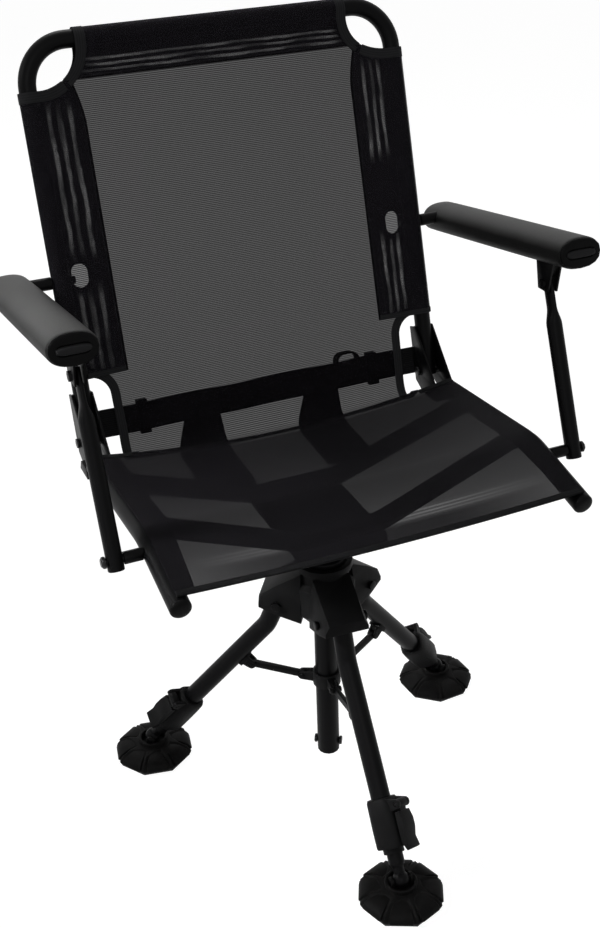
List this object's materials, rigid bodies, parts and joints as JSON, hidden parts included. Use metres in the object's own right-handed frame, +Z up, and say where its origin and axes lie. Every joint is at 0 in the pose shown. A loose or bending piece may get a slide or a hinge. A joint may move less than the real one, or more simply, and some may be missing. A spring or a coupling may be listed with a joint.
{
  "type": "blind swivel chair",
  "caption": "Folding swivel chair with a tall reclined mesh back, mesh seat, padded arms and a low tripod base with telescoping legs and wide feet.",
  "frame": {"origin": "on the floor, at the centre of the bounding box seen from above; the swivel axis is 8.0 mm towards the front of it", "axes": "+Z up; the seat faces -Y; +X is at the right of a person looking at the front of the chair"},
  "size_m": [0.667, 0.6325, 0.9754],
  "materials": {
    "black_powder_coat": "satin black powder coat on steel tube",
    "moulded_plastic": "moulded black plastic with a fine grain",
    "foot_rubber": "dark rubbery foot moulding",
    "mesh_cloth": "black open-weave mesh with fine cross ribs",
    "webbing": "flat black woven webbing",
    "arm_foam": "soft black foam grip",
    "dark_hardware": "blackened bolts and pins"
  },
  "bodies": {
    "base": {"hub_body": "moulded_plastic", "center_post": "black_powder_coat", "post_end_cap": "moulded_plastic", "post_stop_bolt": "dark_hardware", "swivel_bearing": "dark_hardware", "leg_pivot_pin_1": "dark_hardware", "leg_pivot_pin_2": "dark_hardware", "leg_pivot_pin_3": "dark_hardware"},
    "collar": {"brace_collar": "moulded_plastic"},
    "seat": {"swivel_plate": "black_powder_coat", "swivel_spindle": "black_powder_coat", "cradle_front": "black_powder_coat", "cradle_rear": "black_powder_coat", "seat_rail_left": "black_powder_coat", "seat_rail_right": "black_powder_coat", "rail_cap_left": "moulded_plastic", "rail_cap_right": "moulded_plastic", "hinge_bracket_left": "black_powder_coat", "hinge_bracket_right": "black_powder_coat", "hinge_bolt_left": "dark_hardware", "hinge_bolt_right": "dark_hardware", "arm_stub_left": "black_powder_coat", "arm_stub_right": "black_powder_coat", "stub_bolt_left": "dark_hardware", "stub_bolt_right": "dark_hardware", "seat_sling": "mesh_cloth", "webbing_strap": "webbing", "strap_slider_left": "moulded_plastic", "strap_slider_right": "moulded_plastic"},
    "back": {"back_frame": "black_powder_coat", "back_sling": "mesh_cloth"},
    "arm_left": {"arm_bar_left": "black_powder_coat", "arm_pad_left": "arm_foam", "pad_cap_left": "moulded_plastic"},
    "upright_left": {"arm_upright_left": "black_powder_coat"},
    "arm_right": {"arm_bar_right": "black_powder_coat", "arm_pad_right": "arm_foam", "pad_cap_right": "moulded_plastic"},
    "upright_right": {"arm_upright_right": "black_powder_coat"},
    "leg_1": {"leg_tube_1": "black_powder_coat", "brace_bracket_1": "moulded_plastic", "lock_housing_1": "moulded_plastic"},
    "lever_1": {"lock_lever_1": "moulded_plastic"},
    "lower_leg_1": {"lower_tube_1": "black_powder_coat"},
    "foot_1": {"foot_1": "foot_rubber"},
    "brace_1": {"brace_1": "black_powder_coat"},
    "leg_2": {"leg_tube_2": "black_powder_coat", "brace_bracket_2": "moulded_plastic", "lock_housing_2": "moulded_plastic"},
    "lever_2": {"lock_lever_2": "moulded_plastic"},
    "lower_leg_2": {"lower_tube_2": "black_powder_coat"},
    "foot_2": {"foot_2": "foot_rubber"},
    "brace_2": {"brace_2": "black_powder_coat"},
    "leg_3": {"leg_tube_3": "black_powder_coat", "brace_bracket_3": "moulded_plastic", "lock_housing_3": "moulded_plastic"},
    "lever_3": {"lock_lever_3": "moulded_plastic"},
    "lower_leg_3": {"lower_tube_3": "black_powder_coat"},
    "foot_3": {"foot_3": "foot_rubber"},
    "brace_3": {"brace_3": "black_powder_coat"}
  },
  "joints": [
    {"name": "seat_swivel", "type": "hinge", "parent": "base", "child": "seat", "pos_m": [0, -0.00801, 0.35], "axis": [0, 0, 1], "continuous": true},
    {"name": "back_fold", "type": "hinge", "parent": "seat", "child": "back", "pos_m": [0, 0.17299, 0.491], "axis": [1, 0, 0], "range_deg": [0, 85]},
    {"name": "arm_left_pivot", "type": "hinge", "parent": "back", "child": "arm_left", "pos_m": [-0.305, 0.22777, 0.68854], "axis": [1, 0, 0], "range_deg": [-97.5, 0]},
    {"name": "upright_left_pivot", "type": "hinge", "parent": "seat", "child": "upright_left", "pos_m": [-0.294, -0.11401, 0.48977], "axis": [1, 0, 0], "range_deg": [0, 74.9]},
    {"name": "arm_right_pivot", "type": "hinge", "parent": "back", "child": "arm_right", "pos_m": [0.305, 0.22777, 0.68854], "axis": [1, 0, 0], "range_deg": [-97.5, 0]},
    {"name": "upright_right_pivot", "type": "hinge", "parent": "seat", "child": "upright_right", "pos_m": [0.294, -0.11401, 0.48977], "axis": [1, 0, 0], "range_deg": [0, 74.9]},
    {"name": "leg_1_fold", "type": "hinge", "parent": "base", "child": "leg_1", "pos_m": [-0.00354, -0.0659, 0.291], "axis": [0.9981, -0.061, 0], "range_deg": [0, 33]},
    {"name": "brace_1_pivot", "type": "hinge", "parent": "leg_1", "child": "brace_1", "pos_m": [-0.00624, -0.11012, 0.17378], "axis": [-0.9981, 0.061, 0], "range_deg": [0, 115.6]},
    {"name": "lever_1_open", "type": "hinge", "parent": "leg_1", "child": "lever_1", "pos_m": [0.00414, -0.22033, 0.11262], "axis": [-0.7948, -0.4461, 0.4115], "range_deg": [0, 100]},
    {"name": "leg_1_extend", "type": "slide", "parent": "leg_1", "child": "lower_leg_1", "axis": [-0.0391, -0.639, -0.7682], "range_m": [0, 0.1]},
    {"name": "foot_1_tilt", "type": "hinge", "parent": "lower_leg_1", "child": "foot_1", "pos_m": [-0.01551, -0.26154, 0.03], "axis": [0.9981, -0.061, 0], "range_deg": [-20, 20]},
    {"name": "leg_2_fold", "type": "hinge", "parent": "base", "child": "leg_2", "pos_m": [0.05191, 0.01787, 0.291], "axis": [-0.4462, 0.8949, 0], "range_deg": [0, 33]},
    {"name": "brace_2_pivot", "type": "hinge", "parent": "leg_2", "child": "brace_2", "pos_m": [0.09155, 0.03764, 0.17378], "axis": [0.4462, -0.8949, 0], "range_deg": [0, 115.6]},
    {"name": "lever_2_open", "type": "hinge", "parent": "leg_2", "child": "lever_2", "pos_m": [0.18181, 0.10174, 0.11262], "axis": [0.7837, -0.4652, 0.4115], "range_deg": [0, 100]},
    {"name": "leg_2_extend", "type": "slide", "parent": "leg_2", "child": "lower_leg_2", "axis": [0.5729, 0.2856, -0.7682], "range_m": [0, 0.1]},
    {"name": "foot_2_tilt", "type": "hinge", "parent": "lower_leg_2", "child": "foot_2", "pos_m": [0.22731, 0.10532, 0.03], "axis": [-0.4462, 0.8949, 0], "range_deg": [-20, 20]},
    {"name": "leg_3_fold", "type": "hinge", "parent": "base", "child": "leg_3", "pos_m": [-0.04836, 0.024, 0.291], "axis": [-0.5519, -0.8339, 0], "range_deg": [0, 33]},
    {"name": "brace_3_pivot", "type": "hinge", "parent": "leg_3", "child": "brace_3", "pos_m": [-0.08531, 0.04845, 0.17378], "axis": [0.5519, 0.8339, 0], "range_deg": [0, 115.6]},
    {"name": "lever_3_open", "type": "hinge", "parent": "leg_3", "child": "lever_3", "pos_m": [-0.18595, 0.09456, 0.11262], "axis": [0.011, 0.9113, 0.4115], "range_deg": [0, 100]},
    {"name": "leg_3_extend", "type": "slide", "parent": "leg_3", "child": "lower_leg_3", "axis": [-0.5338, 0.3533, -0.7682], "range_m": [0, 0.1]},
    {"name": "foot_3_tilt", "type": "hinge", "parent": "lower_leg_3", "child": "foot_3", "pos_m": [-0.21181, 0.13218, 0.03], "axis": [-0.5519, -0.8339, 0], "range_deg": [-20, 20]},
    {"name": "collar_slide", "type": "slide", "parent": "base", "child": "collar", "axis": [0, 0, -1], "range_m": [0, 0.065]}
  ],
  "couplings": [
    {"joint": "arm_left_pivot", "follows": "back_fold", "ratio": -1.1462},
    {"joint": "upright_left_pivot", "follows": "back_fold", "ratio": 0.87991},
    {"joint": "arm_right_pivot", "follows": "back_fold", "ratio": -1.1462},
    {"joint": "upright_right_pivot", "follows": "back_fold", "ratio": 0.87991},
    {"joint": "brace_1_pivot", "follows": "leg_1_fold", "ratio": 3.5013},
    {"joint": "leg_2_fold", "follows": "leg_1_fold", "ratio": 1},
    {"joint": "brace_2_pivot", "follows": "leg_1_fold", "ratio": 3.5013},
    {"joint": "leg_3_fold", "follows": "leg_1_fold", "ratio": 1},
    {"joint": "brace_3_pivot", "follows": "leg_1_fold", "ratio": 3.5013},
    {"joint": "collar_slide", "follows": "leg_1_fold", "m_per_rad": 0.11207}
  ]
}
